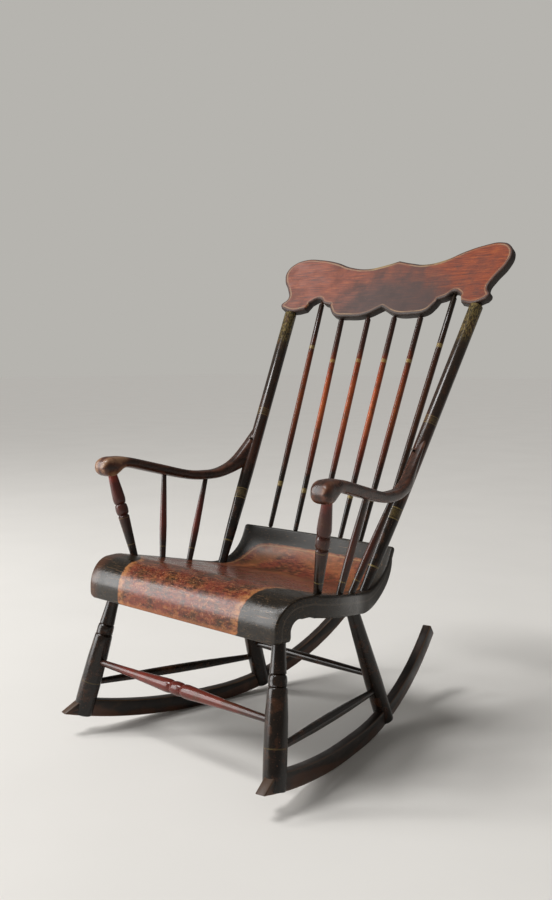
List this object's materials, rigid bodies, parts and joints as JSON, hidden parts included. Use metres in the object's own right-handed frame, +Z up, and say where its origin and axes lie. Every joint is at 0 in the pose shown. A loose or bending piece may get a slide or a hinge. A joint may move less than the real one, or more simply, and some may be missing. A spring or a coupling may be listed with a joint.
{
  "type": "boston rocking chair",
  "caption": "Painted rocking chair with a rolled plank seat, a scrolled crest on turned posts and spindles, scrolled arms, ringed legs and long curved rockers.",
  "frame": {"origin": "on the floor under the middle of the chair's bounding box", "axes": "+Z up from the floor, -Y the way a sitter faces, +X to the sitter's left"},
  "size_m": [0.669, 0.8288, 1.0691],
  "materials": {
    "black_brown_paint": "aged black-brown paint, worn satin",
    "red_grain_paint": "aged red paint under thin black, worn satin",
    "smoked_red_crest_paint": "red paint smoked to black-brown in the middle, satin",
    "worn_seat_paint": "red-brown grain paint with black ends, worn to a sheen",
    "worn_brown_arm_paint": "dark brown paint worn through on the knuckles",
    "bare_maple": "bare wood inside the joints",
    "dark_iron": "dark iron inside the arms' ends"
  },
  "bodies": {
    "root": {"crest": "smoked_red_crest_paint", "back_post_left": "black_brown_paint", "back_post_right": "black_brown_paint", "back_spindle_1": "red_grain_paint", "back_spindle_2": "red_grain_paint", "back_spindle_3": "red_grain_paint", "back_spindle_4": "red_grain_paint", "back_spindle_5": "red_grain_paint", "back_spindle_6": "red_grain_paint", "arm_left": "worn_brown_arm_paint", "arm_right": "worn_brown_arm_paint", "arm_screw_left": "dark_iron", "arm_screw_right": "dark_iron", "arm_post_left": "red_grain_paint", "arm_post_right": "red_grain_paint", "arm_spindle_a_left": "red_grain_paint", "arm_spindle_a_right": "red_grain_paint", "arm_spindle_b_left": "red_grain_paint", "arm_spindle_b_right": "red_grain_paint", "seat_plank": "worn_seat_paint", "seat_front_roll": "worn_seat_paint", "seat_rear_roll": "worn_seat_paint", "seat_front_dowel_left": "bare_maple", "seat_front_dowel_right": "bare_maple", "seat_rear_dowel_left": "bare_maple", "seat_rear_dowel_right": "bare_maple", "front_leg_left": "black_brown_paint", "front_leg_right": "black_brown_paint", "rear_leg_left": "black_brown_paint", "rear_leg_right": "black_brown_paint", "front_stretcher": "red_grain_paint", "rear_stretcher": "black_brown_paint", "side_stretcher_left": "black_brown_paint", "side_stretcher_right": "black_brown_paint", "rocker_left": "black_brown_paint", "rocker_right": "black_brown_paint", "rocker_peg_front_left": "bare_maple", "rocker_peg_front_right": "bare_maple", "rocker_peg_rear_left": "bare_maple", "rocker_peg_rear_right": "bare_maple"}
  },
  "joints": []
}
